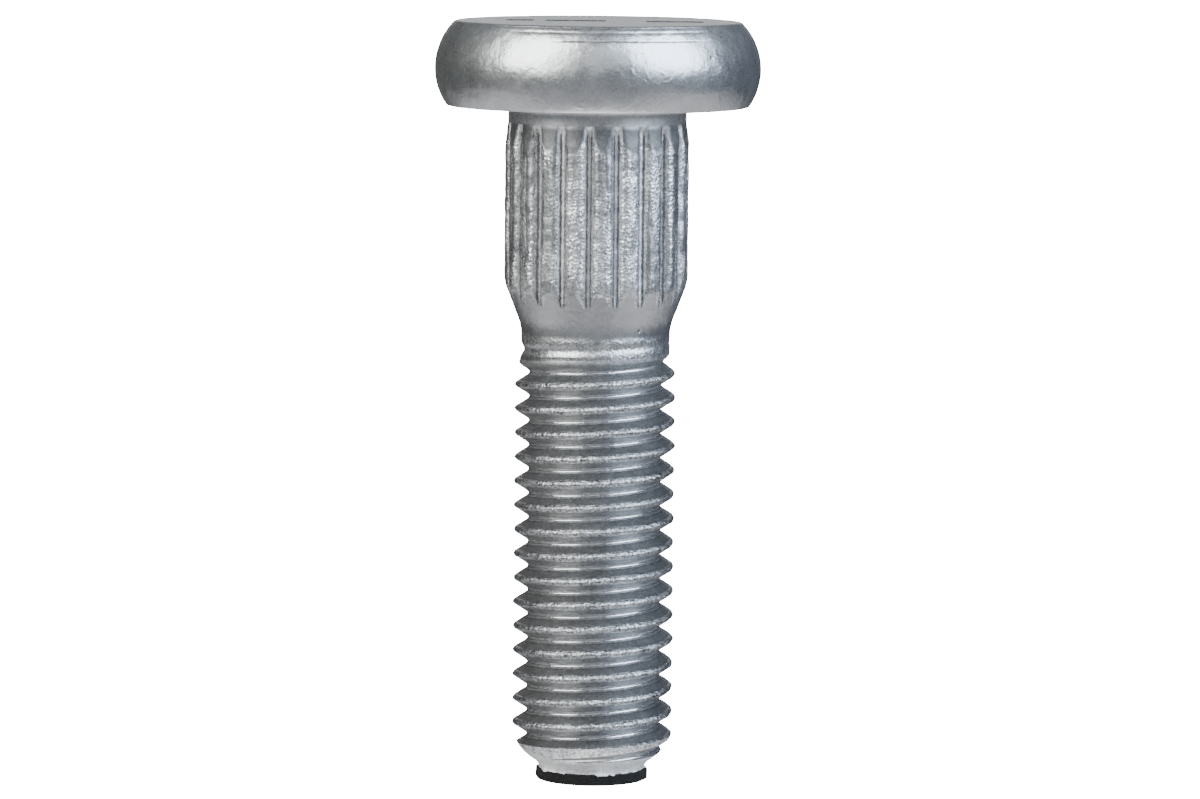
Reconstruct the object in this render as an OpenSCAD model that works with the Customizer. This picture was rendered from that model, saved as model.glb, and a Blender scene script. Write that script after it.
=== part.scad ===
// Suspension bolt: a round head, a press-in splined shank, a plain waist and an M10 x 1.5 thread.
// Millimetres, +Z up. The origin is the centre of the seat under the head, and the shank points down.

/* [Head] */
// Diameter of the head at its widest
head_d = 20; // [17:0.5:26]
// Thickness of the head
head_h = 5.2; // [4:0.1:6]
// Height of the widest line of the head above the seat
head_widest_h = 2.3; // [1.8:0.1:3]
// Radius of the rounded side of the head
head_side_r = 4; // [3.5:0.1:8]
// Radius of the small rounds at the top and bottom edges of the head
head_edge_r = 0.25; // [0.1:0.05:0.6]
// Depth of the three plain bars sunk in the top of the head
mark_depth = 0.2; // [0.1:0.05:0.5]
// Width of the bars
mark_w = 1.6; // [0.4:0.1:2.4]
// Length of each bar
mark_lengths = [1.7, 3.7, 3.5]; // [0.6:0.1:4]
// Place of the middle of each bar, to the right of the head's centre
mark_middles = [-4.8, -1.4, 4.7]; // [-5:0.1:5]

/* [Neck] */
// Diameter of the smooth neck under the head
neck_d = 10.96; // [10.6:0.02:11.2]
// Length of the neck from the seat to the tops of the grooves
neck_len = 1; // [0.7:0.1:2]
// Radius of the fillet between the neck and the seat
neck_fillet_r = 0.4; // [0.3:0.05:0.6]

/* [Splines] */
// Diameter over the splines
spline_d = 11.3; // [11.2:0.05:12.5]
// Number of grooves round the shank
groove_count = 20; // [16:1:24]
// Depth of a groove below the crests
groove_depth = 0.45; // [0.3:0.05:0.6]
// Width of the flat root of a groove
groove_root_w = 0.14; // [0.08:0.02:0.3]
// Width of the steep part of a groove
groove_w = 0.56; // [0.4:0.02:0.8]
// Drop from the crest of a land to the edge of its groove
land_drop = 0.18; // [0.05:0.01:0.25]
// Width of the flat strip along the crest of a land
crest_w = 0.5; // [0.2:0.05:0.7]
// Distance from the seat to the full diameter of the splines
spline_full_at = 2.25; // [2:0.05:4]
// Distance from the seat to the corner where the splines turn into the taper
spline_end_at = 10.8; // [8:0.1:11.5]

/* [Waist] */
// Diameter of the plain waist between the splines and the thread
waist_d = 9.16; // [8.8:0.02:9.6]
// Angle between the taper and the axis
taper_angle = 21.3; // [19:0.1:35]
// Radius of the round where the splines turn into the taper
shoulder_r = 2.6; // [0.5:0.1:3.5]
// Radius of the fillet between the taper and the waist
waist_fillet_r = 3; // [0.5:0.1:4]

/* [Thread] */
// Outside diameter of the thread
thread_d = 9.9; // [9.6:0.02:10]
// Pitch of the thread
thread_pitch = 1.5; // [1.25:0.25:1.75]
// Depth of the thread from crest to root
thread_depth = 0.9; // [0.7:0.02:1]
// Width of the narrow crest
thread_crest_w = 0.24; // [0.1:0.02:0.3]
// Width of the rounded root
thread_root_w = 0.26; // [0.1:0.02:0.3]
// Height of the narrow bevels that soften the crest and the root
thread_soft = 0.04; // [0.01:0.01:0.08]
// Length of the thread with its run-out, measured from the tip
thread_len = 26.45; // [20:0.05:26.5]
// Turns over which the root sinks to its full depth
root_fade_turns = 1.05; // [0.5:0.05:2]
// Turns before the crest starts to rise
crest_start_turns = 0.4; // [0:0.05:0.6]
// Turns over which the crest then rises to its full height
crest_fade_turns = 0.95; // [0.5:0.05:2]

/* [Tip] */
// Distance from the seat to the pale end of the tip
shank_len = 41; // [41:0.5:60]
// Length of the chamfer along the axis
tip_chamfer_len = 1.65; // [1:0.05:2.2]
// How far the chamfer bulges from a straight cone
tip_bulge = 0.2; // [0:0.02:0.26]
// Length of the pale nose below the chamfer
nose_len = 0.55; // [0.3:0.05:1.2]
// Diameter of the nose where it meets the chamfer
nose_d = 7.2; // [7:0.02:7.6]
// Diameter of the small end of the nose
tip_d = 6.56; // [5.6:0.02:6.7]
// Diameter of the rough cropped end
crop_d = 6.9; // [6.8:0.1:7.4]
// Thickness of the rough cropped end
crop_h = 0.65; // [0.3:0.05:1]

/* [Hidden] */
$fn = 96;

// Overlap that carries one form safely into the next
bite = 0.4;
// How far a cutting form runs past what it cuts
clear = 1;
// How far the thread's own blank lies inside the waist
skin = 0.04;
// Facets along each round of an outline
edge_steps = 4;
side_steps = 18;
fillet_steps = 6;
shoulder_steps = 3;
crown_steps = 4;
dome_steps = 6;
// Facets round the thread, and the turns that its rod runs on past the tip
thread_sides = 36;
spare_turns = 0.5;

head_r = head_d / 2;
neck_r = neck_d / 2;
spline_r = spline_d / 2;
waist_r = waist_d / 2;
thread_r = thread_d / 2;

// Returns the points of an arc round c from angle a to angle b
function arc(c, r, a, b, steps) =
    [for (i = [0 : steps]) c + r * [cos(a + (b - a) * i / steps), sin(a + (b - a) * i / steps)]];

// Angle of the line from point a to point b
function heading(a, b) = atan2(b[1] - a[1], b[0] - a[0]);

// Smooth rise from 0 to 1
function ease(x) = let (t = max(0, min(1, x))) t * t * (3 - 2 * t);

// Centre of a small round that touches a level plane and the arc of the head's side from inside
function edge_centre(z) = [
    side_c[0] + sqrt(pow(head_side_r - head_edge_r, 2) - pow(z - side_c[1], 2)),
    z
];

side_c = [head_r - head_side_r, head_widest_h];
top_edge_c = edge_centre(head_h - head_edge_r);
low_edge_c = edge_centre(head_edge_r);
top_heading = heading(side_c, top_edge_c);
low_heading = heading(side_c, low_edge_c);

// The round that takes off the corner between the splines and the taper
shoulder_reach = shoulder_r * tan(taper_angle / 2);
shoulder_c = [spline_r - shoulder_r, shoulder_reach - spline_end_at];

// The corner where the taper would meet the waist, and the round that fills it
waist_corner_z = -spline_end_at - (spline_r - waist_r) / tan(taper_angle);
fillet_reach = waist_fillet_r * tan(taper_angle / 2);
waist_fillet_c = [waist_r + waist_fillet_r, waist_corner_z - fillet_reach];

// The waist ends a little above the first turn of the thread, but never before its fillet does
thread_top_z = thread_len - shank_len;
thread_blank_r = waist_r - skin;
waist_end_z = min(thread_top_z, waist_fillet_c[1] - bite) + bite / 2;

// Outline of one half of the forged blank, from the top of the head down to the end of the waist
function blank_outline() = concat(
    [[0, head_h]],
    arc(top_edge_c, head_edge_r, 90, top_heading, edge_steps),
    arc(side_c, head_side_r, top_heading, low_heading, side_steps),
    arc(low_edge_c, head_edge_r, low_heading, -90, edge_steps),
    arc([neck_r + neck_fillet_r, -neck_fillet_r], neck_fillet_r, 90, 180, fillet_steps),
    [[neck_r, -neck_len], [spline_r, -spline_full_at]],
    arc(shoulder_c, shoulder_r, 0, -taper_angle, shoulder_steps),
    arc(waist_fillet_c, waist_fillet_r, 180 - taper_angle, 180, fillet_steps),
    [[waist_r, waist_end_z], [0, waist_end_z]]
);

module blank() {
    rotate_extrude() polygon(blank_outline());
}

// Polar point
function polar(r, a) = [r * cos(a), r * sin(a)];

// Angle that a width takes up on the spline diameter
function spread(w) = w / spline_r * 180 / PI;

// Section of one groove: a narrow root, two steep sides, and the crowned edges of the lands beside it
module groove_section() {
    root_r = spline_r - groove_depth;
    edge_a = spread(groove_w) / 2;
    crest_a = 180 / groove_count - spread(crest_w) / 2;
    crown = [for (i = [0 : crown_steps - 1]) let (t = i / crown_steps)
        [spline_r - land_drop * pow(1 - t, 2), edge_a + (crest_a - edge_a) * t]];
    side = concat([[root_r, spread(groove_root_w) / 2]], crown, [[spline_r + clear, crest_a]]);
    left = [for (p = side) polar(p[0], p[1])];
    right = [for (i = [len(side) - 1 : -1 : 0]) polar(side[i][0], -side[i][1])];
    polygon(concat(left, right));
}

// The grooves end in a cone under the neck, and run out over the taper below
module grooves() {
    root_r = spline_r - groove_depth;
    intersection() {
        translate([0, 0, waist_corner_z])
            linear_extrude(-waist_corner_z)
                for (i = [0 : groove_count - 1])
                    rotate(i * 360 / groove_count - 90) groove_section();
        rotate_extrude() polygon([
            [root_r - bite, -neck_len - (neck_r - root_r + bite)],
            [spline_r + clear, -neck_len + (spline_r + clear - neck_r)],
            [spline_r + clear, waist_corner_z - clear],
            [root_r - bite, waist_corner_z - clear]
        ]);
    }
}

// One turn of the thread's form, as distances down from the middle of a root and radii
function thread_form() = let (
        mid = thread_pitch / 2,
        root_r = thread_r - thread_depth
    ) [
        [0, root_r],
        [thread_root_w / 2, root_r + thread_soft],
        [mid - thread_crest_w / 2, thread_r - thread_soft],
        [mid, thread_r],
        [mid + thread_crest_w / 2, thread_r - thread_soft],
        [thread_pitch - thread_root_w / 2, root_r + thread_soft]
    ];

// Share of its full height or depth that a point of the form has after the given number of turns
function run_out(r, turns) = r < thread_blank_r
    ? ease(turns / root_fade_turns)
    : ease((turns - crest_start_turns) / crest_fade_turns);

// Radius of a point of the form in the run-out at the top and below it
function faded(r, turns) = thread_blank_r + (r - thread_blank_r) * run_out(r, turns);

// The threaded rod: a right-hand helix, with its lower end left long for the tip to be cut from it
module threaded_rod() {
    form = thread_form();
    k = len(form);
    n = thread_sides;
    rows = ceil((thread_len / thread_pitch + spare_turns) * n);
    floor_z = thread_top_z - (rows / n + 1 + spare_turns) * thread_pitch;
    function turn_point(r, row, z) =
        [r * cos(-90 - row * 360 / n), r * sin(-90 - row * 360 / n), z];
    helix = [for (row = [0 : rows + n], p = [0 : k - 1])
        if (row <= rows || p == 0)
            let (down = row / n + form[p][0] / thread_pitch)
            turn_point(faded(form[p][1], down), row, thread_top_z - down * thread_pitch)];
    top_ring = [for (i = [0 : n - 1]) turn_point(thread_blank_r, i, thread_top_z + bite)];
    low_ring = [for (i = [0 : n - 1]) turn_point(thread_r - thread_depth, rows + i, floor_z)];
    function at(row, p) =
        p == k ? at(row + n, 0) : row <= rows ? row * k + p : (rows + 1) * k + row - rows - 1;
    top_0 = len(helix);
    low_0 = top_0 + n;
    function top(i) = top_0 + i % n;
    function low(i) = low_0 + i % n;
    flanks = [for (row = [0 : rows - 1], p = [0 : k - 1]) each [
        [at(row, p), at(row + 1, p + 1), at(row + 1, p)],
        [at(row, p), at(row, p + 1), at(row + 1, p + 1)]
    ]];
    top_wall = [for (i = [0 : n - 1]) each i < n - 1
        ? [[top(i), at(i + 1, 0), top(i + 1)], [top(i), at(i, 0), at(i + 1, 0)]]
        : concat(
            [[top(i), at(i, 0), top(0)], [top(0), at(i, 0), at(0, 0)]],
            [for (p = [0 : k - 1]) [at(0, p), at(i, 0), at(0, p + 1)]]
        )];
    low_wall = [for (i = [0 : n - 1]) each i > 0
        ? [[at(rows + i, 0), low(i + 1), at(rows + i + 1, 0)], [at(rows + i, 0), low(i), low(i + 1)]]
        : concat(
            [for (p = [0 : k - 1]) [at(rows, p), at(rows, p + 1), at(rows + 1, 0)]],
            [[at(rows + n, 0), low(0), at(rows + 1, 0)], [at(rows + 1, 0), low(0), low(1)]]
        )];
    caps = [[for (i = [0 : n - 1]) top(i)], [for (i = [n - 1 : -1 : 0]) low(i)]];
    polyhedron(concat(helix, top_ring, low_ring), concat(flanks, top_wall, low_wall, caps));
}

// The form that the rod's lower end is cut to: a domed chamfer, a slim nose and the cropped end
module tip_envelope() {
    from = [thread_r, tip_chamfer_len + nose_len - shank_len];
    run = [nose_d / 2, nose_len - shank_len] - from;
    away = [-run[1], run[0]] / norm(run);
    rotate_extrude() polygon(concat(
        [[0, thread_top_z + clear], [thread_r + clear, thread_top_z + clear]],
        [[thread_r + clear, from[1] - run[1] / run[0] * -clear]],
        [for (i = [0 : dome_steps]) let (t = i / dome_steps)
            from + run * t + away * tip_bulge * 4 * t * (1 - t)],
        [[tip_d / 2, -shank_len], [crop_d / 2, -shank_len]],
        [[crop_d / 2, -shank_len - crop_h], [0, -shank_len - crop_h]]
    ));
}

module thread() {
    intersection() {
        threaded_rod();
        tip_envelope();
    }
}

// Three plain bars in a row across the top of the head
module head_marks() {
    for (i = [0 : len(mark_lengths) - 1])
        translate([mark_middles[i] - mark_lengths[i] / 2, -mark_w / 2, head_h - mark_depth])
            cube([mark_lengths[i], mark_w, mark_depth + clear]);
}

module bolt() {
    color([0.66, 0.67, 0.68]) {
        difference() {
            blank();
            grooves();
            head_marks();
        }
        thread();
    }
}

bolt();
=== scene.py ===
"""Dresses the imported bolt: forged head, splined shank, rolled thread and zinc flake finish.

The bolt is modelled in millimetres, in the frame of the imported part, and its mesh is brought
to metres when it is finished.
"""

import logging
import math
from collections.abc import Callable, Iterable, Sequence
from dataclasses import dataclass
from enum import Enum

import bpy
from mathutils import Matrix, Vector


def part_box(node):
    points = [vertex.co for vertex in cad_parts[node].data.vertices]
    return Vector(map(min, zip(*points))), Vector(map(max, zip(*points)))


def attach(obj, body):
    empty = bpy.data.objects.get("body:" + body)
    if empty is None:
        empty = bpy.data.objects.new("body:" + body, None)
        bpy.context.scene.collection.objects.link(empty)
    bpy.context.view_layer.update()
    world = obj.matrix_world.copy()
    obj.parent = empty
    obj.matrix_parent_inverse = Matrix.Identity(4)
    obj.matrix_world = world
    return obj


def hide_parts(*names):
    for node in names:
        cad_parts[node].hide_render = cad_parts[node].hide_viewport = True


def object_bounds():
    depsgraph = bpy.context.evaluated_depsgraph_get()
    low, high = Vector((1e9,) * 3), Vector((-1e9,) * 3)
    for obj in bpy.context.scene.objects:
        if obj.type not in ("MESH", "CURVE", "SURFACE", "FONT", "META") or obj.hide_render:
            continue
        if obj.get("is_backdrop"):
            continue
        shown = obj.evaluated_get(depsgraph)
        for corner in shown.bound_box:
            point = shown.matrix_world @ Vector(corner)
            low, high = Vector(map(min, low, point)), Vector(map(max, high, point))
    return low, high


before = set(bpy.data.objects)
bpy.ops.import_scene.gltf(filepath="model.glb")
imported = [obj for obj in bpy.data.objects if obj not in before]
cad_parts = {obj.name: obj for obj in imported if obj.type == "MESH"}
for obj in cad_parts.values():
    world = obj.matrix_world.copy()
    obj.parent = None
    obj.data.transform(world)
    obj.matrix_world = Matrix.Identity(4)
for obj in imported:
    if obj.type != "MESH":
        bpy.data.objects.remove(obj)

LOG = logging.getLogger("bolt")
MM = 0.001

Pair = tuple[float, float]
Profile = list[Pair]
Weight = Callable[[Vector], float]
Test = Callable[[Vector], bool]
Colour = tuple[float, float, float, float]
Material = bpy.types.Material
Node = bpy.types.Node
Socket = bpy.types.NodeSocket


def clamp(x: float) -> float:
    """Returns x held between 0 and 1."""
    return max(0.0, min(1.0, x))


def ramp(value: float, start: float, length: float) -> float:
    """Returns a smooth step from 0 at start to 1 at start + length, which may lie below it."""
    t = clamp((value - start) / length)
    return t * t * (3 - 2 * t)


def arc(centre: Pair, radius: float, start: float, end: float, steps: int) -> Profile:
    """Points of an arc in the plane of radius and height.

    Args:
        centre: Centre of the arc as radius and height.
        radius: Radius of the arc.
        start: First angle in degrees.
        end: Last angle in degrees.
        steps: Number of chords.

    Returns:
        The points from start to end.
    """
    points = []
    for i in range(steps + 1):
        a = math.radians(start + (end - start) * i / steps)
        points.append((centre[0] + radius * math.cos(a), centre[1] + radius * math.sin(a)))
    return points


def ladder(start: float, end: float, step: float) -> list[float]:
    """Returns even heights from start to just before end, no further apart than step."""
    count = max(1, math.ceil(abs(end - start) / step))
    return [start + (end - start) * i / count for i in range(count)]


class Bench:
    """One mesh object on the bench, with the steps that shape it."""

    def __init__(self, name: str, material: Material) -> None:
        """Takes the primitive that was just added, names it and gives it its finish."""
        self.obj = bpy.context.active_object
        self.obj.name = name
        self.obj.data.materials.append(material)

    @classmethod
    def chain(cls, name: str, outline: Profile, material: Material) -> "Bench":
        """Starts a piece from a primitive that is merged to one point and drawn out as a chain.

        Args:
            name: Name of the object.
            outline: Chain of points as radius and height, drawn on the side that faces -Y.
            material: The finish of the piece.

        Returns:
            The piece, in edit mode with all of it selected.
        """
        cls.leave()
        bpy.ops.mesh.primitive_plane_add(size=1.0)
        piece = cls(name, material)
        piece.edit()
        bpy.ops.mesh.merge(type="CENTER")
        bpy.ops.transform.translate(value=(0.0, -outline[0][0], outline[0][1]))
        for before, after in zip(outline, outline[1:]):
            step = (0.0, before[0] - after[0], after[1] - before[1])
            bpy.ops.mesh.extrude_region_move(TRANSFORM_OT_translate={"value": step})
        bpy.ops.mesh.select_all(action="SELECT")
        return piece

    @staticmethod
    def leave() -> None:
        """Goes back to object mode with nothing selected."""
        if bpy.context.mode != "OBJECT":
            bpy.ops.object.mode_set(mode="OBJECT")
        bpy.ops.object.select_all(action="DESELECT")

    def take(self) -> None:
        """Makes the piece the one selected object, in object mode."""
        self.leave()
        self.obj.select_set(True)
        bpy.context.view_layer.objects.active = self.obj

    def edit(self, pick: str | Test = "SELECT") -> None:
        """Enters edit mode with everything, nothing or the points that pass a test selected.

        Args:
            pick: SELECT, DESELECT, or a test on a point's place.
        """
        self.take()
        bpy.ops.object.mode_set(mode="EDIT")
        bpy.ops.mesh.select_mode(type="VERT")
        bpy.ops.mesh.select_all(action=pick if isinstance(pick, str) else "DESELECT")
        if not isinstance(pick, str):
            bpy.ops.object.mode_set(mode="OBJECT")
            for vert in self.obj.data.vertices:
                vert.select = pick(vert.co)
            bpy.ops.object.mode_set(mode="EDIT")

    def turn(self, steps: Iterable[float]) -> None:
        """Spins the selected chain round the axis, by one angle in radians after another."""
        for angle in steps:
            bpy.ops.mesh.spin(steps=1, angle=angle, center=(0, 0, 0), axis=(0, 0, 1))

    def repeat_round(self, count: int) -> None:
        """Copies the whole mesh round the axis, count places in all, and merges the seams."""
        bpy.ops.mesh.select_all(action="SELECT")
        bpy.ops.mesh.spin(
            steps=count - 1, dupli=True, angle=2 * math.pi * (count - 1) / count,
            center=(0, 0, 0), axis=(0, 0, 1),
        )
        self.weld()

    def weld(self, reach: float = 0.002) -> None:
        """Merges the points that lie within reach of each other and leaves edit mode."""
        self.edit()
        bpy.ops.mesh.remove_doubles(threshold=reach)
        self.leave()

    def close(self) -> None:
        """Fills every open edge loop with a face and turns all faces outwards."""
        self.edit()
        bpy.ops.mesh.fill_holes(sides=0)
        self.face_out()

    def face_out(self) -> None:
        """Turns all faces outwards and leaves edit mode."""
        self.edit()
        bpy.ops.mesh.normals_make_consistent(inside=False)
        self.leave()

    def paint(self, name: str, weight: Weight) -> str:
        """Paints a vertex group by place.

        Args:
            name: Name of the group.
            weight: Gives the weight at a place, from 0 to 1.

        Returns:
            The group's name.
        """
        self.leave()
        group = self.obj.vertex_groups.new(name=name)
        for vert in self.obj.data.vertices:
            value = weight(vert.co)
            if value > 0.0:
                group.add([vert.index], min(value, 1.0), "REPLACE")
        return name

    def apply(self, kind: str, **settings: object) -> None:
        """Adds one modifier and applies it.

        Args:
            kind: Type of the modifier.
            **settings: Values of its properties.
        """
        self.take()
        modifier = self.obj.modifiers.new(kind.lower(), kind)
        for key, value in settings.items():
            setattr(modifier, key, value)
        bpy.ops.object.modifier_apply(modifier=modifier.name)

    def draw_in(self, radius: float, name: str, weight: Weight) -> None:
        """Moves points towards a cylinder round the axis, by a painted share of the way."""
        self.apply(
            "CAST", cast_type="CYLINDER", factor=1.0, radius=0.0, size=radius,
            use_radius_as_size=False, use_x=True, use_y=True, use_z=False,
            vertex_group=self.paint(name, weight),
        )

    def roughen(self, name: str, grain: float, depth: float, weight: Weight) -> None:
        """Makes the surface uneven where a weight is painted.

        Args:
            name: Name of the painted group and its noise.
            grain: Size of the unevenness.
            depth: Height from its lowest to its highest place.
            weight: Gives the weight at a place.
        """
        noise = bpy.data.textures.new(name, "CLOUDS")
        noise.noise_scale = grain
        noise.noise_depth = 2
        noise.noise_basis = "BLENDER_ORIGINAL"
        self.apply(
            "DISPLACE", texture=noise, texture_coords="LOCAL", strength=depth, mid_level=0.5,
            direction="NORMAL", vertex_group=self.paint(name, weight),
        )

    def trim(self, height: float, upper: bool) -> None:
        """Cuts the piece off level at a height, above or below it."""
        self.edit()
        bpy.ops.mesh.bisect(
            plane_co=(0, 0, height), plane_no=(0, 0, 1), use_fill=False,
            clear_outer=upper, clear_inner=not upper, threshold=0.0001,
        )
        self.leave()

    def open_at(self, height: float, reach: float) -> None:
        """Deletes the faces that lie level within reach of a height, but not their edges."""
        self.edit(lambda co: abs(co.z - height) < reach)
        bpy.ops.mesh.delete(type="ONLY_FACE")
        self.leave()

    def refinish(self, material: Material, pick: Test) -> None:
        """Gives a second finish to the faces whose points pass a test."""
        self.obj.data.materials.append(material)
        self.edit(pick)
        self.obj.active_material_index = 1
        bpy.ops.object.material_slot_assign()
        self.leave()

    def cut(self, tool: "Bench", operation: str) -> None:
        """Applies an exact Boolean with another piece, whose faces keep their finish."""
        self.apply(
            "BOOLEAN", object=tool.obj, operation=operation, solver="EXACT",
            material_mode="TRANSFER",
        )
        bpy.data.objects.remove(tool.obj)


@dataclass(frozen=True)
class Head:
    """The round forged head, in millimetres from the seat.

    Attributes:
        mark_soft: How far the edges of the bars are softened.
        line_front: Where the forge lines lie at the front, in degrees from -Y.
        line_back: Where they lie behind, to both sides.
        line_fade: Over how many degrees they fade out.
        line_pull: Share of the way to core_r that they are drawn in.
    """

    radius: float
    height: float
    widest_z: float = 2.3
    side_r: float = 4.0
    edge_r: float = 0.25
    mark_w: float = 1.6
    mark_depth: float = 0.2
    mark_soft: float = 0.08
    mark_lengths: tuple[float, ...] = (1.7, 3.7, 3.5)
    mark_middles: tuple[float, ...] = (-4.8, -1.4, 4.7)
    top_rings: tuple[float, ...] = (0.0, 1.6, 3.2, 4.8, 6.2, 7.4, 8.2)
    line_heights: tuple[float, ...] = (4.33, 4.82, 5.1)
    line_w: float = 0.07
    line_front: float = 18.0
    line_back: float = 150.0
    line_fade: float = 8.0
    line_pull: float = 0.024
    core_r: float = 8.0

    def outline(self, fillet_from: float) -> Profile:
        """Half section from the middle of the top down to the start of the under-head fillet.

        Args:
            fillet_from: Radius where the fillet to the neck starts on the seat.

        Returns:
            The points of the chain.
        """
        side = (self.radius - self.side_r, self.widest_z)

        def edge_centre(z: float) -> Pair:
            """Returns the centre of a small round that touches the side and a level plane."""
            reach = self.side_r - self.edge_r
            return side[0] + math.sqrt(reach**2 - (z - side[1]) ** 2), z

        top = edge_centre(self.height - self.edge_r)
        low = edge_centre(self.edge_r)
        top_a, low_a = (
            math.degrees(math.atan2(z - side[1], r - side[0])) for r, z in (top, low)
        )
        seat = [(low[0] + (fillet_from - low[0]) * t, 0.0) for t in (0.2, 0.45, 0.7)]
        return (
            [(r, self.height) for r in self.top_rings]
            + arc(top, self.edge_r, 90, top_a, 5)
            + self.side(side, top_a, low_a)
            + arc(low, self.edge_r, low_a, -90, 5)[1:]
            + seat
        )

    def side(self, centre: Pair, top_a: float, low_a: float) -> Profile:
        """Returns the rounded side below its first point, with close points at each forge line."""
        points = arc(centre, self.side_r, top_a, low_a, 24)
        for height in self.line_heights:
            for z in (height - self.line_w, height, min(height + self.line_w, self.height - 0.06)):
                reach = math.sqrt(self.side_r**2 - (z - centre[1]) ** 2)
                points.append((centre[0] + reach, z))
        return sorted(points, key=lambda point: -point[1])[1:]

    def line_share(self, co: Vector) -> float:
        """Returns how far a point of the side lies in one of the faint lines of the forging."""
        if math.hypot(co.x, co.y) < self.core_r:
            return 0.0
        turn = math.degrees(math.atan2(co.x, -co.y))
        shares = []
        for i, height in enumerate(self.line_heights):
            span = 34 + 9 * i
            front = span - abs(turn - self.line_front + 6 * i)
            back = span - abs(abs(turn) - self.line_back)
            fade = ramp(front, 0.0, self.line_fade) + ramp(back, 0.0, self.line_fade)
            shares.append(fade * clamp(1 - abs(co.z - height) / self.line_w))
        return self.line_pull * min(1.0, sum(shares))


@dataclass(frozen=True)
class Splines:
    """The pressed-in grooves round the shank, in millimetres from the seat."""

    radius: float = 5.65
    neck_r: float = 5.48
    neck_len: float = 1.0
    fillet_r: float = 0.4
    full_at: float = 2.25
    count: int = 20
    depth: float = 0.45
    root_w: float = 0.14
    steep_w: float = 0.56
    land_drop: float = 0.18
    crest_w: float = 0.5
    columns: tuple[float, ...] = (0.0, 0.07, 0.14, 0.21, 0.28, 0.4, 0.53, 0.68)

    @property
    def root_r(self) -> float:
        """Radius at the root of a groove."""
        return self.radius - self.depth

    def across(self, co: Vector) -> float:
        """Returns a point's distance round the shank from the middle of the nearest groove."""
        pitch = 2 * math.pi / self.count
        angle = (math.atan2(co.y, co.x) + math.pi / 2) % pitch
        return min(angle, pitch - angle) * self.radius

    def column_steps(self) -> list[float]:
        """Returns the angles in radians between the columns of one groove with its half lands."""
        half = math.pi * self.radius / self.count
        marks = [*self.columns, half]
        rise = [(b - a) / self.radius for a, b in zip(marks, marks[1:])]
        return rise + rise[::-1]

    def section(self, across: float) -> float:
        """Returns the radius at a distance round the shank from the middle of a groove."""
        half_root = self.root_w / 2
        half_steep = self.steep_w / 2
        crest_at = math.pi * self.radius / self.count - self.crest_w / 2
        edge_r = self.radius - self.land_drop
        if across < half_steep:
            climb = clamp((across - half_root) / (half_steep - half_root))
            return self.root_r + (edge_r - self.root_r) * climb
        rise = clamp((across - half_steep) / (crest_at - half_steep))
        return self.radius - self.land_drop * (1 - rise) ** 2


@dataclass(frozen=True)
class Waist:
    """The taper below the splines and the plain waist, in millimetres from the seat."""

    radius: float = 4.58
    taper_from: float = 10.8
    angle: float = 21.3
    shoulder_r: float = 2.6
    fillet_r: float = 3.0
    end: float = 14.16


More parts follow.
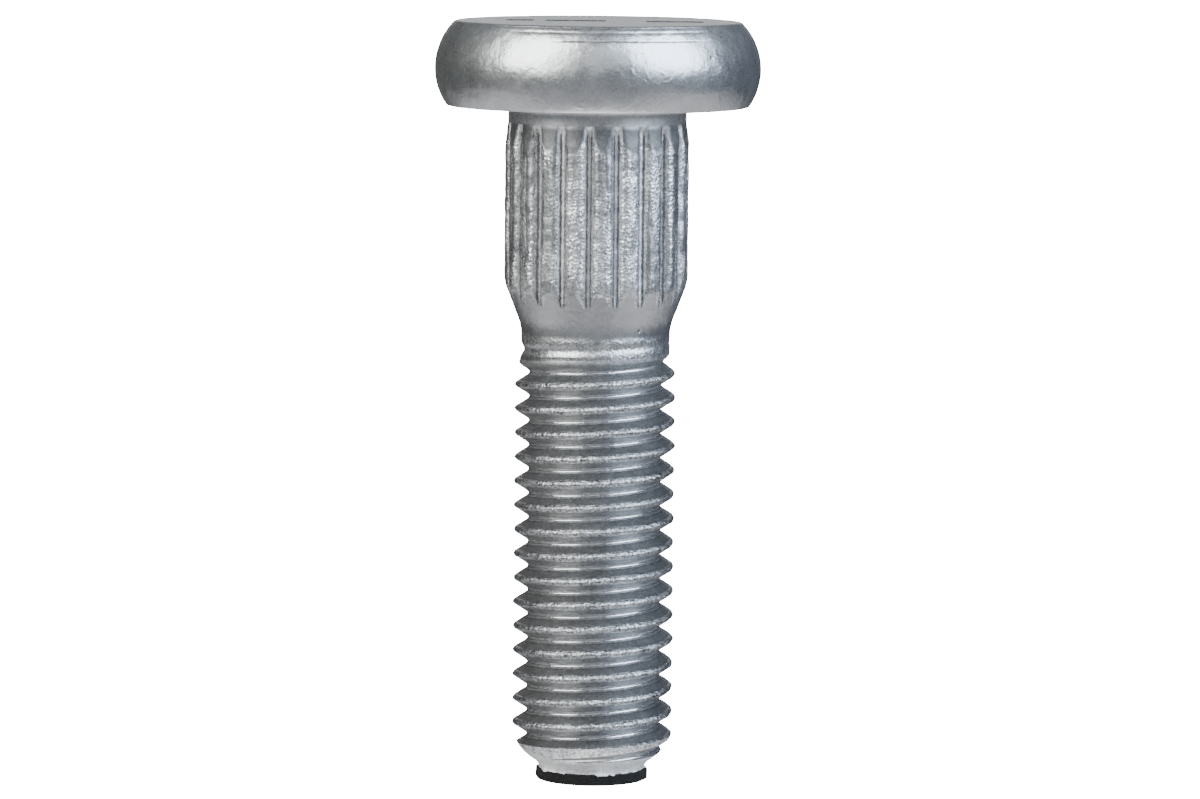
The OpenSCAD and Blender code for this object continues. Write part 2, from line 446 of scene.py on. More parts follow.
@dataclass(frozen=True)
class Shank:
    """The upper part of the bolt, spun from one outline: head, neck, splines, taper and waist."""

    head: Head
    splines: Splines
    waist: Waist
    groove_rough: float = 0.15
    skin_from: float = 8.4
    skin_low: float = 0.6

    def taper(self) -> Profile:
        """Returns the rounded taper from the splines down to the waist."""
        s, w = self.splines, self.waist
        slope = math.tan(math.radians(w.angle))
        reach = math.tan(math.radians(w.angle / 2))
        corner_z = -w.taper_from - (s.radius - w.radius) / slope
        shoulder = (s.radius - w.shoulder_r, -w.taper_from + w.shoulder_r * reach)
        fillet = (w.radius + w.fillet_r, corner_z - w.fillet_r * reach)
        upper = arc(shoulder, w.shoulder_r, 0, -w.angle, 10)
        lower = arc(fillet, w.fillet_r, 180 - w.angle, 180, 10)
        start, end = upper[-1], lower[0]
        count = 14
        middle = [
            (start[0] + (end[0] - start[0]) * i / count, start[1] + (end[1] - start[1]) * i / count)
            for i in range(1, count)
        ]
        return upper + middle + lower

    def outline(self) -> Profile:
        """Returns the half section of the blank, from the top of the head to the waist's end."""
        s, w = self.splines, self.waist
        fillet_at = s.neck_r + s.fillet_r
        taper = self.taper()
        rise = (s.radius - s.neck_r) / (s.full_at - s.neck_len)
        near = [0.0, 0.04, 0.1, 0.16, 0.22, 0.28, 0.36, 0.5, 0.7, 0.9, 1.08]
        return (
            self.head.outline(fillet_at)
            + arc((fillet_at, -s.fillet_r), s.fillet_r, 90, 180, 8)
            + [(s.neck_r, -z) for z in ladder(s.fillet_r, s.neck_len, 0.12)[1:]]
            + [(s.neck_r + rise * d, -s.neck_len - d) for d in near]
            + [(s.radius, z) for z in ladder(-s.full_at, taper[0][1], 0.22)]
            + taper
            + [(w.radius, -w.end)]
        )

    def groove_share(self, co: Vector) -> float:
        """Returns how far a point of the blank is drawn in towards the root of its groove."""
        s, w = self.splines, self.waist
        if not -w.end < co.z < -s.neck_len + 0.01:
            return 0.0
        blank_r = math.hypot(co.x, co.y)
        run_in = s.neck_r - (-s.neck_len - co.z)
        wanted = max(s.section(s.across(co)), run_in)
        return (blank_r - wanted) / (blank_r - s.root_r) if blank_r > wanted else 0.0

    def land_share(self, co: Vector) -> float:
        """Returns how rough the surface is: full on the lands, slight in the grooves."""
        s, w = self.splines, self.waist
        reach = w.taper_from + 0.6 + 0.9 * ramp(s.across(co), 0.8, -0.7)
        along = ramp(co.z, -s.neck_len - 0.3, -0.6) * ramp(co.z, -reach, 0.3)
        land = ramp(math.hypot(co.x, co.y) - s.root_r, 0.12, 0.2)
        return along * (self.groove_rough + (1 - self.groove_rough) * land)

    def skin_share(self, co: Vector) -> float:
        """Returns how uneven the forged skin is: full round the head's side, slight elsewhere."""
        side = ramp(math.hypot(co.x, co.y), self.skin_from, 0.5)
        low = ramp(co.z, -self.splines.neck_len, -0.3) * ramp(co.z, -self.waist.end, 0.8)
        return max(side, self.skin_low * low)

    def build(self) -> Bench:
        """Returns the upper part, open at its lower end, with the bars sunk in the head."""
        piece = Bench.chain("bolt_body", self.outline(), Finish.ZINC.material())
        piece.turn(self.splines.column_steps())
        piece.repeat_round(self.splines.count)
        piece.draw_in(self.splines.root_r, "grooves", self.groove_share)
        piece.draw_in(self.head.core_r, "forge_lines", self.head.line_share)
        piece.roughen("land_lumps", 0.8, 0.07, self.land_share)
        piece.roughen("land_grain", 0.4, 0.05, self.land_share)
        piece.roughen("forged_skin", 0.85, 0.05, self.skin_share)
        piece.close()
        for middle, length in zip(self.head.mark_middles, self.head.mark_lengths):
            piece.cut(self.bar(middle, length), "DIFFERENCE")
        piece.open_at(-self.waist.end, 0.005)
        return piece

    def bar(self, middle: float, length: float) -> Bench:
        """Returns the form of one bar in the head's top, with soft edges, near-black walls of
        painted shade and a coated floor.
        """
        head = self.head
        Bench.leave()
        bpy.ops.mesh.primitive_cube_add(size=1.0)
        # The cutter's walls carry the near-black painted shade into the sunk bars.
        bar = Bench("bar", Finish.BAR.material())
        bar.edit()
        bpy.ops.transform.resize(value=(length, head.mark_w, 2 * head.mark_depth))
        bpy.ops.transform.translate(value=(middle, 0.0, head.height))
        bpy.ops.mesh.bevel(offset=head.mark_soft, segments=3)
        floor = head.height - head.mark_depth
        bar.refinish(Finish.ZINC.material(), lambda co: co.z < floor + 0.01)
        return bar


@dataclass(frozen=True)
class Tip:
    """The domed chamfer, the slim nose and the rough end ring, whose near-black is painted contact
    shadow, in millimetres from the seat.
    """

    end_z: float
    chamfer_top_r: float = 4.95
    chamfer_top_z: float = -38.8
    bulge: float = 0.2
    nose_r: float = 3.6
    nose_top_z: float = -40.45
    nose_low_r: float = 3.28
    nose_low_z: float = -40.95
    end_ring_r: float = 3.45
    top_z: float = -10.0
    wide_r: float = 8.0
    dome_steps: int = 14
    nose_steps: int = 8
    sectors: int = 20
    sector_steps: int = 12

    def outline(self) -> Profile:
        """Returns the half section of the form that the thread is cut to, from its top down."""
        start = Vector((self.chamfer_top_r, self.chamfer_top_z))
        run = Vector((self.nose_r, self.nose_top_z)) - start
        away = Vector((-run.y, run.x)).normalized()
        flare = start - run.normalized() * (self.wide_r - start.x) / abs(run.normalized().x)
        dome = []
        for i in range(self.dome_steps + 1):
            t = i / self.dome_steps
            point = start + run * t + away * self.bulge * 4 * t * (1 - t)
            dome.append((point.x, point.y))
        depth = self.nose_top_z - self.nose_low_z
        for i in range(1, self.nose_steps + 1):
            t = i / self.nose_steps
            waisted = self.nose_r - (self.nose_r - self.nose_low_r) * (1 - (1 - t) ** 2)
            dome.append((waisted, self.nose_top_z - depth * t))
        side = [(self.end_ring_r, self.nose_low_z - 0.08 - 0.09 * i) for i in range(7)]
        floor = [(r, self.end_z) for r in (3.36, 2.8, 2.0, 1.0, 0.0)]
        return (
            [(0.0, self.top_z), (self.wide_r, self.top_z), (flare.x, flare.y)]
            + dome
            + [(self.nose_low_r + 0.09, self.nose_low_z - 0.02)]
            + side
            + floor
        )

    def ragged_share(self, co: Vector) -> float:
        """Returns how ragged the end ring is: full round its side, none on its flat."""
        below = ramp(co.z, self.nose_low_z + 0.05, -0.1)
        return below * ramp(math.hypot(co.x, co.y), 3.1, 0.2) * ramp(co.z, self.end_z, 0.12)

    def build(self) -> Bench:
        """Returns the closed form of the tip with its finishes."""
        piece = Bench.chain("tip_form", self.outline(), Finish.CHAMFER.material())
        piece.turn([2 * math.pi / self.sectors / self.sector_steps] * self.sector_steps)
        piece.repeat_round(self.sectors)
        piece.face_out()
        piece.roughen("ragged", 0.8, 0.22, self.ragged_share)
        # The end ring and its flat take the near-black finish, a painted contact shadow under the
        # tip.
        piece.refinish(Finish.CROP.material(), lambda co: co.z < self.nose_low_z + 0.002)
        return piece


@dataclass(frozen=True)
class Thread:
    """The rolled right-hand thread with its run-out, in millimetres from the seat.

    Attributes:
        phase_z: Height of a root's middle at the side that faces -Y.
        turns: Number of turns before its ends are trimmed.
        flats: Half widths of the flats at the root and at the crest.
        flank: The radii between which a flank lies.
        root_out: Height where the root's run-out ends in the waist, and its length.
        crest_out: The same for the crest.
        root_rough: How rough the roots are beside the crests.
        gap: Gap to the waist, which is bridged.
        low_z: Height of its lower trim, below the tip.
    """

    waist: Waist
    tip: Tip
    major_r: float = 4.95
    root_r: float = 4.05
    pitch: float = 1.5
    phase_z: float = -14.55
    turns: int = 21
    steps: int = 120
    flats: Pair = (0.08, 0.1)
    round_w: float = 0.1
    flank: Pair = (4.15, 4.74)
    root_out: Pair = (-14.25, 1.9)
    crest_out: Pair = (-15.2, 1.35)
    root_rough: float = 0.06
    gap: float = 0.06
    low_z: float = -42.3

    def form(self) -> Profile:
        """Returns one pitch of the rounded form, from the middle of one root up to the next."""
        root_flat, crest_flat = self.flats
        samples = 4

        def radius(s: float) -> float:
            """Returns the radius of the sharp form at a distance from the root."""
            s = min(abs(s), self.pitch - abs(s))
            climb = clamp((s - root_flat) / (self.pitch / 2 - root_flat - crest_flat))
            return self.root_r + (self.major_r - self.root_r) * climb

        points = []
        for s in (0.0, 0.05, 0.1, 0.15, 0.21, 0.32, 0.44, 0.54, 0.61, 0.68, 0.75):
            near = [radius(s + self.round_w * k / samples) for k in range(-samples, samples + 1)]
            points.append((sum(near) / len(near), s))
        return points + [(r, self.pitch - s) for r, s in points[-2::-1]]

    def fade(self, co: Vector) -> float:
        """Returns how far a point is drawn back to the waist's radius in the run-out."""
        if math.hypot(co.x, co.y) < self.waist.radius:
            return 1 - clamp((self.root_out[0] - co.z) / self.root_out[1])
        return 1 - ramp(co.z, self.crest_out[0], -self.crest_out[1])

    def build(self) -> Bench:
        """Returns the thread, open at its top and cut to the form of the tip."""
        start = self.phase_z - self.pitch * (self.turns - 1)
        outline = [(r, start + s) for r, s in self.form()]
        piece = Bench.chain("thread", outline, Finish.ZINC.material())
        piece.apply(
            "SCREW", axis="Z", angle=2 * math.pi, screw_offset=self.pitch,
            iterations=self.turns, steps=self.steps, render_steps=self.steps,
            use_smooth_shade=False,
        )
        piece.weld()
        piece.draw_in(self.waist.radius, "run_out", self.fade)
        piece.roughen("crest_lumps", 0.9, 0.08, self.crest_share)
        piece.roughen("crest_grain", 0.42, 0.1, self.crest_share)
        top = -self.waist.end - self.gap
        piece.trim(top, upper=True)
        piece.trim(self.low_z, upper=False)
        piece.close()
        piece.cut(self.tip.build(), "INTERSECT")
        piece.open_at(top, 0.002)
        return piece

    def crest_share(self, co: Vector) -> float:
        """Returns how uneven the thread is: full on the crests, slight in the roots."""
        crest = ramp(math.hypot(co.x, co.y), self.flank[1], 0.16)
        return (self.root_rough + (1 - self.root_rough) * crest) * ramp(co.z, -14.6, -0.5)


class Graph:
    """A node tree that is built one node at a time."""

    def __init__(self, tree: bpy.types.NodeTree) -> None:
        """Keeps the tree and clears it."""
        self.tree = tree
        tree.nodes.clear()

    def add(self, kind: str, *inputs: object, **named: object) -> Node:
        """Adds a node.

        Args:
            kind: Type of the node, without its ShaderNode prefix.
            *inputs: Values or sockets for the first inputs, None to leave one alone.
            **named: Properties of the node, and inputs by name with underscores for spaces.

        Returns:
            The node.
        """
        node = self.tree.nodes.new("ShaderNode" + kind)
        sockets = {}
        for key, value in named.items():
            title = key.replace("_", " ").title()
            if title in node.inputs and not hasattr(node, key):
                sockets[title] = value
            else:
                setattr(node, key, value)
        for i, value in enumerate(inputs):
            if value is not None:
                sockets[i] = value
        for key, value in sockets.items():
            self.feed(node.inputs[key], value)
        return node

    def feed(self, socket: Socket, value: object) -> None:
        """Links a socket to another, or sets its value."""
        if isinstance(value, Node):
            value = value.outputs[0]
        if isinstance(value, Socket):
            self.tree.links.new(value, socket)
        else:
            socket.default_value = value

    def fill(self, node: Node, *values: object) -> None:
        """Feeds the first inputs of a node, in order."""
        for socket, value in zip(node.inputs, values):
            self.feed(socket, value)

    def math(self, operation: str, *values: object, held: bool = False) -> Socket:
        """Adds a Math node, whose result may be held between 0 and 1, and returns its output."""
        return self.add("Math", *values, operation=operation, use_clamp=held).outputs[0]

    def mix(self, share: object, first: object, second: object) -> Socket:
        """Adds a mix of two values and returns its output."""
        return self.add("Mix", share, None, first, second, data_type="FLOAT").outputs[0]

    def band(self, value: object, low: float, high: float) -> Socket:
        """Adds a smooth step from 0 at low to 1 at high and returns its output."""
        node = self.add("MapRange", value, low, high, 0.0, 1.0, interpolation_type="SMOOTHSTEP")
        return node.outputs[0]

    def blend(self, share: object, first: object, second: object, how: str = "MIX") -> Socket:
        """Adds a colour mix and returns its output."""
        inputs = (share, None, None, None, None, None, first, second)
        return self.add("Mix", *inputs, data_type="RGBA", blend_type=how).outputs[2]


ZINC_TINT = 0.012


def grey(value: float, tint: float = 0.0) -> Colour:
    """Returns a grey that leans to blue by its tint."""
    return (value * (1 - tint), value, value * (1 + tint), 1.0)


class Effects:
    """The shader node groups that the finishes share."""

    @staticmethod
    def group(
        name: str, inputs: dict[str, float | None], outputs: Sequence[str],
    ) -> tuple[Graph, Node, Node]:
        """Starts a node group, whose sockets are numbers apart from Place, which is a vector.

        Args:
            name: Name of the group.
            inputs: Default of each input by name, None for Place.
            outputs: Name of each output.

        Returns:
            The graph with its input and output nodes.
        """
        tree = bpy.data.node_groups.new(name, "ShaderNodeTree")
        for way, titles in (("INPUT", inputs), ("OUTPUT", outputs)):
            for title in titles:
                kind = "NodeSocket" + ("Vector" if title == "Place" else "Float")
                socket = tree.interface.new_socket(title, in_out=way, socket_type=kind)
                if way == "INPUT" and inputs[title] is not None:
                    socket.default_value = inputs[title]
        return Graph(tree), tree.nodes.new("NodeGroupInput"), tree.nodes.new("NodeGroupOutput")

    @staticmethod
    def use(graph: Graph, name: str, **inputs: object) -> Node:
        """Places a group in a material with its own values and returns the node."""
        node = graph.tree.nodes.new("ShaderNodeGroup")
        node.node_tree = bpy.data.node_groups[name]
        for key, value in inputs.items():
            graph.feed(node.inputs[key.title()], value)
        return node

    @classmethod
    def build(cls) -> None:
        """Builds every group once."""
        cls.place()
        cls.grain()
        cls.pits()
        cls.smears()

    @classmethod
    def place(cls) -> None:
        """Builds the group for a point's place in millimetres, and on the thread and the grooves.

        Phase runs from 0 at a thread root over 0.5 at the crest to 1, and Across is the distance
        round the shank from the middle of the nearest groove, with a slight wobble.
        """
        g, _, out = cls.group("bolt_place", {}, ("Place", "Radius", "Height", "Phase", "Across"))
        coords = g.add("TexCoord").outputs["Object"]
        place = g.add("VectorMath", coords, operation="SCALE", scale=1 / MM)
        x, y, z = g.add("SeparateXYZ", place).outputs
        square = g.math("ADD", g.math("POWER", x, 2.0), g.math("POWER", y, 2.0))
        turns = g.math("DIVIDE", g.math("ARCTAN2", x, g.math("MULTIPLY", y, -1.0)), 2 * math.pi)
        rise = g.math("DIVIDE", g.math("SUBTRACT", z, Thread.phase_z), Thread.pitch)
        phase = g.math("FRACT", g.math("SUBTRACT", rise, turns))
        groove = g.math("FRACT", g.math("MULTIPLY_ADD", turns, float(Splines.count), 0.5))
        aside = g.math("ABSOLUTE", g.math("SUBTRACT", groove, 0.5))
        pitch = 2 * math.pi * Splines.radius / Splines.count
        wobble = g.add("TexNoise", place, None, 2.6, 2.0, 0.6)
        across = g.math("MULTIPLY_ADD", aside, pitch, g.math("MULTIPLY_ADD", wobble, 0.1, -0.05))
        g.fill(out, place, g.math("SQRT", square), z, phase, across)

    @classmethod
    def grain(cls) -> None:
        """Builds the group for the flaky grain of the coating and the waves of the skin below."""
        sockets = {"Place": None, "Cell": 0.12}, ("Tone", "Flake", "Height", "Skin")
        g, given, out = cls.group("flake_grain", *sockets)
        place, cell, _ = given.outputs
        often = g.math("DIVIDE", 1.0, cell)
        fine = g.add("TexNoise", place, None, often, 2.0, 0.6)
        broad = g.add("TexNoise", place, None, g.math("MULTIPLY", often, 0.27), 2.0, 0.6)
        tone = g.math("MULTIPLY_ADD", fine, 1.6, g.math("MULTIPLY", broad, 0.9))
        grit = g.add("TexNoise", place, None, g.math("MULTIPLY", often, 0.85), 1.0, 0.5)
        seldom = g.math("MULTIPLY", often, 0.32)
        waves = g.add("TexNoise", place, None, seldom, 1.0, 0.4, distortion=0.8)
        g.fill(out, g.math("SUBTRACT", tone, 1.25), g.band(fine, 0.54, 0.63), grit, waves)

    @classmethod
    def pits(cls) -> None:
        """Builds the group for sparse dark pits."""
        sockets = {"Place": None, "Spacing": 1.5, "Share": 0.22}, ("Mask",)
        g, given, out = cls.group("fine_pits", *sockets)
        place, spacing, share, _ = given.outputs
        rough = g.add("TexNoise", place, None, 6.0, 2.0, 0.6).outputs["Color"]
        nudge = g.add("VectorMath", rough, (0.22, 0.22, 0.22), operation="MULTIPLY")
        moved = g.add("VectorMath", place, nudge, operation="ADD")
        cells = g.add("TexVoronoi", moved, None, g.math("DIVIDE", 1.0, spacing))
        pick = g.add("SeparateColor", cells.outputs["Color"])
        chosen = g.math("LESS_THAN", pick, share)
        size = g.math("MULTIPLY_ADD", pick.outputs[1], 0.09, 0.05)
        away = g.math("DIVIDE", cells.outputs["Distance"], size)
        near = g.math("SUBTRACT", 1.0, away, held=True)
        g.fill(out, g.math("MULTIPLY", chosen, g.band(near, 0.0, 0.6)))

    @classmethod
    def smears(cls) -> None:
        """Builds the group for cloudy smears, rubbed streaks and stretches along the axis."""
        sockets = {"Place": None, "Size": 2.2}, ("Cloud", "Streak", "Lengthways")
        g, given, out = cls.group("smears", *sockets)
        place, size, _ = given.outputs
        often = g.math("DIVIDE", 1.0, size)
        cloud = g.add("TexNoise", place, None, often, 4.0, 0.55, distortion=0.6)
        laid = g.add("Mapping", place, rotation=(0.3, 0.5, 0.2), scale=(0.5, 0.5, 5.0))
        streak = g.add("TexNoise", laid, None, 0.9, 5.0, 0.62, distortion=1.4)
        drawn = g.add("Mapping", place, scale=(1.0, 1.0, 0.14))
        stretch = g.add("TexNoise", drawn, None, 1.1, 3.0, 0.55)
        g.fill(out, cloud, g.band(streak, 0.6, 0.72), g.band(stretch, 0.42, 0.56))


@dataclass(frozen=True)
class Where:
    """The sockets that tell a shader where on the bolt it is."""

    place: Socket
    radius: Socket
    height: Socket
    phase: Socket
    across: Socket


@dataclass(frozen=True)
class Patch:
    """How the coating looks in one part of the bolt, whose bounds are in millimetres.

    Attributes:
        heights: Its two heights, the lower one first.
        base: Grey of the metal.
        rough: Roughness.
        grain: Contrast of the grain in the colour.
        swell: Strength of the grain's relief.
        sparkle: Share of bright flakes.
        radii: Its two radii, or None.
        across: Its two distances from the middle of a groove, or None.
        facing: 1 for the thread's upper flanks, -1 for the lower ones, 0 for both; flanks that face
            up and down get their own tones, painted shade.
        point: How much further up and down it reaches beside a groove.
        dull: How much darker its dull stretches are, where it also shows less.
    """

    heights: Pair
    base: float
    rough: float
    grain: float
    swell: float
    sparkle: float = 0.08
    radii: Pair | None = None
    across: Pair | None = None
    facing: int = 0
    point: float = 0.0
    dull: float = 0.0

    def mask(self, g: Graph, where: Where) -> Socket:
        """Returns the mask of the patch, with soft edges."""
        lower = upper = where.height
        if self.point:
            beside = g.band(where.across, 0.8, 0.1)
            lower = g.math("MULTIPLY_ADD", beside, self.point, where.height)
            between = g.math("SUBTRACT", 1.0, beside)
            upper = g.math("MULTIPLY_ADD", between, self.point, where.height)
        mask = g.band(lower, self.heights[0] - 0.12, self.heights[0] + 0.12)
        mask = g.math("MULTIPLY", mask, g.band(upper, self.heights[1] + 0.2, self.heights[1] - 0.2))
        if self.radii:
            mask = g.math("MULTIPLY", mask, self.inside(g, where.radius, self.radii, 0.05))
        if self.across:
            mask = g.math("MULTIPLY", mask, self.inside(g, where.across, self.across, 0.03))
        # Splits the thread's flanks by which way they face, for their painted shade.
        if self.facing:
            side = g.math("MULTIPLY", g.math("SUBTRACT", where.phase, 0.5), float(self.facing))
            mask = g.math("MULTIPLY", mask, g.band(side, -0.03, 0.03))
        return mask

    @staticmethod
    def inside(g: Graph, value: Socket, bounds: Pair, soft: float) -> Socket:
        """Returns the mask of a value that lies between two bounds, each with a soft edge."""
        above = g.band(value, bounds[0] - soft, bounds[0] + soft)
        return g.math("MULTIPLY", above, g.band(value, bounds[1] + soft, bounds[1] - soft))


class Zone(Enum):
    """The patches of the coating that differ from the rest, some of them painted shade and one a
    painted glint.
    """

    NECK = Patch((-1.0, -0.2), 0.86, 0.46, 0.2, 0.3, radii=(5.0, 5.7))
    # Darker lands where they rise under the head: painted shade.
    RISE = Patch((-2.7, -1.1), 0.3, 0.55, 0.2, 0.3, across=(0.26, 2.0))
    RUN_IN = Patch((-1.9, -1.0), 0.98, 0.5, 0.2, 0.4, across=(-1.0, 0.3))
    LAND = Patch(
        (-11.25, -1.65), 0.98, 0.36, 1.5, 4.6,
        sparkle=0.9, across=(0.24, 2.0), point=0.9, dull=0.38,
    )
    WALL = Patch((-11.4, -1.5), 0.85, 0.38, 0.6, 1.0, sparkle=0.2, across=(0.19, 0.26))
    # Dark band down each groove beside its root: painted shade in the groove.
    FLANK = Patch((-12.0, -1.45), 0.25, 0.42, 0.4, 0.8, across=(0.09, 0.18))
    GROOVE = Patch((-12.0, -1.5), 0.98, 0.36, 0.1, 0.2, across=(-1.0, 0.07))
    # Thin bright line along each groove's sharp edge: a painted glint.
    EDGE = Patch((-11.3, -1.7), 0.98, 0.28, 0.8, 1.5, sparkle=0.4, across=(0.26, 0.32), point=0.5)
    COLLAR = Patch((-15.3, -14.0), 0.66, 0.36, 0.9, 3.0, sparkle=0.5)
    # Thread flanks darker than the coat, the up-facing ones darkest and the down-facing ones a
    # little lighter: painted shade.
    UPPER = Patch((-45.0, -15.2), 0.265, 0.44, 0.3, 0.6, radii=Thread.flank, facing=1)
    LOWER = Patch((-45.0, -15.2), 0.31, 0.58, 0.5, 1.2, radii=Thread.flank, facing=-1)
    CREST = Patch((-45.0, -15.4), 0.4, 0.34, 1.5, 7.0, sparkle=0.5, radii=(Thread.flank[1], 7.0))
    ROOT = Patch((-45.0, -15.2), 0.98, 0.23, 0.1, 0.1, radii=(3.0, Thread.flank[0]))


@dataclass(frozen=True)
class Coat:
    """One finish of the bolt, whose grain, swell and sparkle are as in Patch.

    Attributes:
        cell: Size of the grain in millimetres.
        bump: Height of the relief in millimetres.
        waves: Strength of the waves below the grain.
        pit_share: Share of the places that have a pit.
        zinc: Whether the zones are laid over it.
        pale_from: Height in millimetres below which it is pale, a painted reflection of the pale
            floor, or None.
    """

    name: str
    base: Colour
    rough: float
    metallic: float
    cell: float = 0.14
    grain: float = 0.16
    bump: float = 0.012
    swell: float = 1.0
    waves: float = 1.6
    pit_share: float = 0.14
    sparkle: float = 0.08
    zinc: bool = False
    pale_from: float | None = None

    def build(self) -> Material:
        """Returns the material, built on first use."""
        if self.name in bpy.data.materials:
            return bpy.data.materials[self.name]
        material = bpy.data.materials.new(self.name)
        material.use_nodes = True
        g = Graph(material.node_tree)
        where = Where(*Effects.use(g, "bolt_place").outputs)
        grain = Effects.use(g, "flake_grain", place=where.place, cell=self.cell)
        tone, flake, relief, skin = grain.outputs
        pits = Effects.use(g, "fine_pits", place=where.place, share=self.pit_share).outputs[0]
        cloud, streak, lengthways = Effects.use(g, "smears", place=where.place).outputs
        base, metallic = self.base, self.metallic
        look = {name: getattr(self, name) for name in ("rough", "grain", "swell", "sparkle")}
        if self.pale_from is not None:
            # Below pale_from the tip turns near-white and hardly metallic: a painted reflection of
            # the pale floor.
            ragged = g.math("MULTIPLY_ADD", tone, 0.5, where.height)
            pale = g.band(ragged, self.pale_from + 0.1, self.pale_from - 0.15)
            base = g.blend(pale, base, grey(0.97))
            metallic = g.mix(pale, metallic, 0.05)
            look["grain"] = g.mix(pale, look["grain"], 0.2)
        for patch in [zone.value for zone in Zone] if self.zinc else []:
            mask = patch.mask(g, where)
            metal = grey(patch.base, ZINC_TINT)
            if patch.dull:
                darker = grey(patch.base * (1 - patch.dull), ZINC_TINT)
                metal = g.blend(lengthways, darker, metal)
                mask = g.math("MULTIPLY", mask, g.math("MULTIPLY_ADD", lengthways, 0.8, 0.2))
            base = g.blend(mask, base, metal)
            look = {name: g.mix(mask, old, getattr(patch, name)) for name, old in look.items()}
        value = g.math("MULTIPLY_ADD", cloud, 0.5, 0.75)
        value = g.math("MAXIMUM", g.math("MULTIPLY_ADD", tone, look["grain"], value), 0.12)
        colour = g.blend(1.0, base, g.add("CombineColor", value, value, value), "MULTIPLY")
        colour = g.blend(g.math("MULTIPLY", flake, look["sparkle"]), colour, grey(0.95, 0.01))
        colour = g.blend(g.math("MULTIPLY", pits, 0.6), colour, grey(0.1))
        rough = g.math("MULTIPLY_ADD", cloud, 0.12, g.math("SUBTRACT", look["rough"], 0.06))
        rough = g.math("MULTIPLY_ADD", tone, 0.08, rough)
        rough = g.math("MULTIPLY_ADD", streak, -0.05, rough)
        relief = g.math("MULTIPLY_ADD", relief, look["swell"], g.math("MULTIPLY", skin, self.waves))
        relief = g.math("SUBTRACT", relief, g.math("MULTIPLY", pits, 2.5))
        bump = g.add("Bump", distance=self.bump * MM)
        g.feed(bump.inputs["Height"], relief)
        shader = g.add("BsdfPrincipled", colour, metallic=metallic, roughness=rough, normal=bump)
        g.add("OutputMaterial", shader)
        return material


class Finish(Enum):
    """The finishes of the bolt's surfaces, with painted shade on the bar walls and the end ring and
    a painted reflection on the chamfer.
    """

    ZINC = Coat(
        "zinc_flake", grey(0.68, ZINC_TINT), 0.31, 0.95,
        grain=0.12, bump=0.014, swell=0.12, zinc=True,
    )
    # Chamfer and nose: near-white, partly worn metal and partly a painted reflection of the pale
    # floor.
    CHAMFER = Coat(
        "chamfer_wear_and_floor_reflection", grey(0.97, 0.01), 0.38, 0.8, grain=1.8, bump=0.06, pale_from=-40.0,
    )
    # Near-black end ring at the tip: painted contact shadow.
    CROP = Coat(
        "dark_end_painted_shadow", grey(0.006), 0.95, 0.0, grain=0.5, bump=0.05, pit_share=0.0, sparkle=0.0,
    )
    # Near-black walls of the sunk bars: painted shade in the recesses.
    BAR = Coat("bar_walls_painted_shade", grey(0.02, 0.01), 0.7, 0.2, grain=0.4, bump=0.03)

    def material(self) -> Material:
        """Returns the finish's material."""
        return self.value.build()


@dataclass(frozen=True)
class SoftBox:
    """A rectangular studio light that looks at the bolt."""

    name: str
    azimuth: float
    elevation: float
    distance: float
    width: float
    height: float
    radiance: float
    colour: tuple[float, float, float]

    def build(self, aim: Vector) -> None:
        """Places the light.

        Args:
            aim: The point that it looks at, in metres.
        """
        data = bpy.data.lights.new(self.name, "AREA")
        data.shape = "RECTANGLE"
        data.size = self.width
        data.size_y = self.height
        data.energy = self.radiance * math.pi * self.width * self.height
        data.color = self.colour
        light = bpy.data.objects.new(self.name, data)
        away = direction(self.azimuth, self.elevation)
        light.location = aim + away * self.distance
        light.rotation_euler = (-away).to_track_quat("-Z", "Y").to_euler()
        light.visible_camera = False
        bpy.context.scene.collection.objects.link(light)


def direction(azimuth: float, elevation: float) -> Vector:
    """Returns the direction towards an azimuth from -Y to +X and an elevation, in degrees."""
    a, e = math.radians(azimuth), math.radians(elevation)
    return Vector((math.sin(a) * math.cos(e), -math.cos(a) * math.cos(e), math.sin(e)))


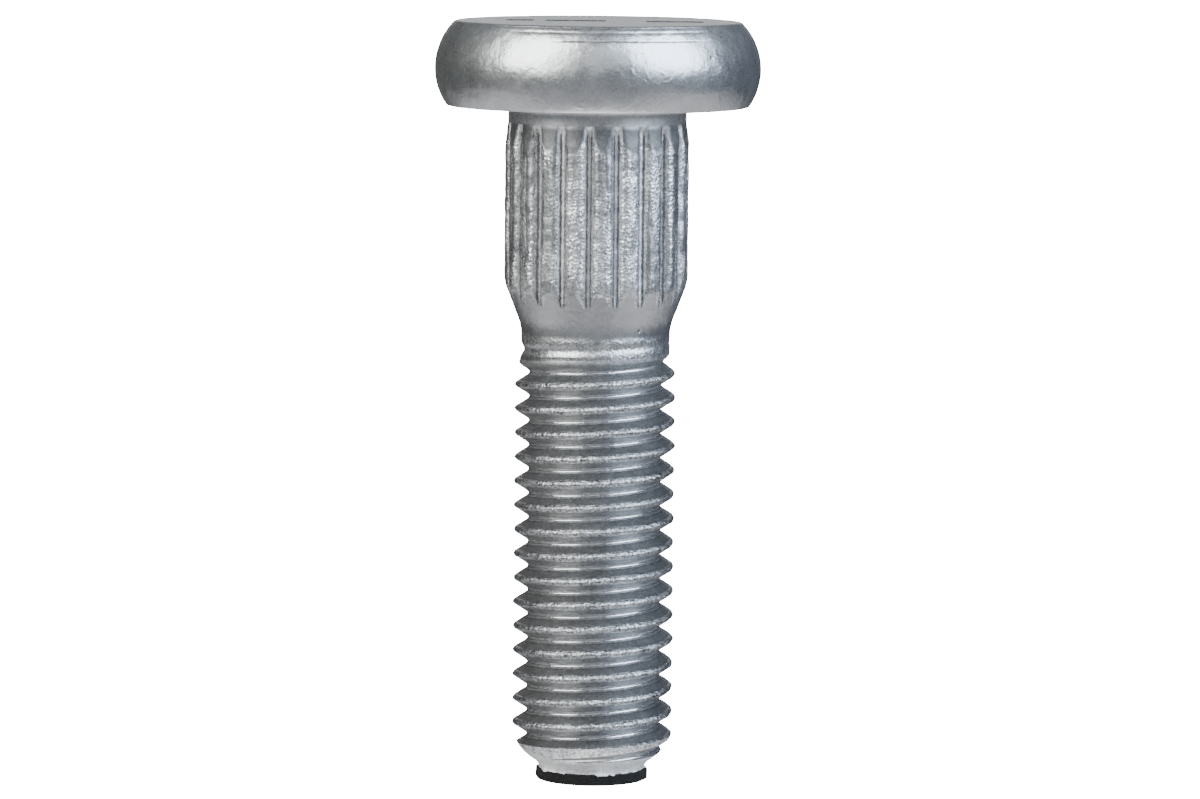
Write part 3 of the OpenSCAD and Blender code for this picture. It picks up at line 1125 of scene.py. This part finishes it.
@dataclass(frozen=True)
class Studio:
    """The pale floor, the soft light and the camera."""

    floor_z: float
    azimuth: float = 5.1
    elevation: float = 6.0
    distance: float = 0.3574
    roll: float = 0.54
    aim_z: float = -0.0181
    lens: float = 174.0
    aside: float = 0.000314
    glow: float = 30.0

    @property
    def aim(self) -> Vector:
        """The point on the axis that the lights look at, and the camera close beside it."""
        return Vector((0.0, 0.0, self.aim_z))

    def build(self) -> None:
        """Builds the whole studio."""
        self.camera()
        self.floor()
        self.world()
        for box in (
            SoftBox("left_box", -47.0, 35.0, 0.4, 0.29, 0.38, 7.4, (0.97, 1.0, 0.97)),
            SoftBox("right_box", 63.0, 34.0, 0.4, 0.34, 0.4, 8.6, (0.7, 0.83, 1.0)),
            SoftBox("front_box", 6.0, 30.0, 0.45, 0.16, 0.26, 0.8, (0.93, 0.97, 1.0)),
            SoftBox("back_box", 185.0, 9.0, 0.6, 0.22, 0.12, 1.1, (0.97, 0.99, 1.0)),
        ):
            box.build(self.aim)

    def camera(self) -> None:
        """Places the camera at the photograph's angle."""
        data = bpy.data.cameras.new("camera")
        data.sensor_width = 36.0
        data.lens = self.lens
        data.clip_start = 0.01
        data.clip_end = 50.0
        camera = bpy.data.objects.new("camera", data)
        bpy.context.scene.collection.objects.link(camera)
        away = direction(self.azimuth, self.elevation)
        right = Vector((0, 0, 1)).cross(away).normalized()
        place = self.aim + away * self.distance
        look = self.aim + right * self.aside - place
        turn = look.to_track_quat("-Z", "Y").to_matrix().to_4x4()
        roll = Matrix.Rotation(math.radians(self.roll), 4, "Z")
        camera.matrix_world = Matrix.Translation(place) @ turn @ roll
        bpy.context.scene.camera = camera

    def floor(self) -> None:
        """Lays the pale floor under the tip."""
        Bench.leave()
        bpy.ops.mesh.primitive_plane_add(size=12.0, location=(0.0, 0.0, self.floor_z))
        floor = bpy.context.active_object
        floor.name = "floor"
        floor.visible_glossy = False
        floor.visible_diffuse = False
        material = bpy.data.materials.new("pale_floor")
        material.use_nodes = True
        g = Graph(material.node_tree)
        shader = g.add(
            "BsdfPrincipled", grey(0.92), roughness=0.9,
            emission_color=grey(1.0), emission_strength=self.glow,
        )
        g.add("OutputMaterial", shader)
        floor.data.materials.append(material)
        floor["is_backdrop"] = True

    def world(self) -> None:
        """Sets the dim room that the metal mirrors, pale to the eye and pale below."""
        world = bpy.data.worlds.new("room")
        world.use_nodes = True
        bpy.context.scene.world = world
        g = Graph(world.node_tree)
        side, behind, rise = g.add("SeparateXYZ", g.add("TexCoord").outputs["Generated"]).outputs
        ahead = g.math("MULTIPLY", behind, -1.0)
        left, right = (0.055, 0.058, 0.057, 1.0), (0.047, 0.052, 0.066, 1.0)
        room = g.blend(g.band(side, -0.6, 0.6), left, right)
        room = g.blend(g.band(ahead, 0.1, 0.95), room, (0.155, 0.163, 0.175, 1.0))
        room = g.blend(g.band(rise, 0.3, 0.8), room, (0.12, 0.125, 0.135, 1.0))
        below = g.blend(g.band(ahead, 0.3, 0.65), (0.74, 0.75, 0.78, 1.0), (0.38, 0.39, 0.41, 1.0))
        room = g.blend(g.band(rise, -0.25, -0.65), room, below)
        room = g.blend(g.band(rise, -0.88, -0.99), room, grey(2.6))
        seen = g.add("LightPath").outputs["Is Camera Ray"]
        colour = g.blend(seen, room, grey(self.glow))
        g.add("OutputWorld", g.add("Background", colour, 1.0))


class Bolt:
    """The whole bolt as one closed mesh."""

    def __init__(self, node: str) -> None:
        """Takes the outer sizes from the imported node, in millimetres."""
        low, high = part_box(node)
        self.node = node
        waist = Waist()
        self.shank = Shank(Head(radius=10.0, height=high.z / MM), Splines(), waist)
        self.thread = Thread(waist, Tip(end_z=low.z / MM))

    def build(self) -> bpy.types.Object:
        """Returns the finished bolt in metres."""
        shank, thread = self.shank.build(), self.thread.build()
        for part in (shank, thread):
            LOG.info("%s: %d faces", part.obj.name, len(part.obj.data.polygons))
        body = self.join(shank, thread)
        body.weld(0.0005)
        body.face_out()
        body.edit()
        bpy.ops.transform.resize(value=(MM, MM, MM), center_override=(0, 0, 0))
        body.take()
        body.obj.vertex_groups.clear()
        bpy.ops.object.shade_smooth_by_angle(angle=math.radians(38))
        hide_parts(self.node)
        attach(body.obj, "root")
        return body.obj

    def join(self, shank: Bench, thread: Bench) -> Bench:
        """Joins the two parts and bridges the gap between their open ends."""
        shank.take()
        thread.obj.select_set(True)
        bpy.ops.object.join()
        shank.edit("DESELECT")
        bpy.ops.mesh.select_non_manifold(
            extend=False, use_wire=False, use_boundary=True, use_multi_face=False,
            use_non_contiguous=False, use_verts=False,
        )
        bpy.ops.mesh.bridge_edge_loops()
        shank.leave()
        return shank


def main() -> None:
    """Builds the bolt and the studio."""
    logging.basicConfig(level=logging.INFO)
    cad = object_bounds()
    Effects.build()
    piece = Bolt("bolt").build()
    LOG.info("%s: %d faces", piece.name, len(piece.data.polygons))
    Studio(floor_z=cad[0].z).build()


if __name__ == "__main__":
    main()
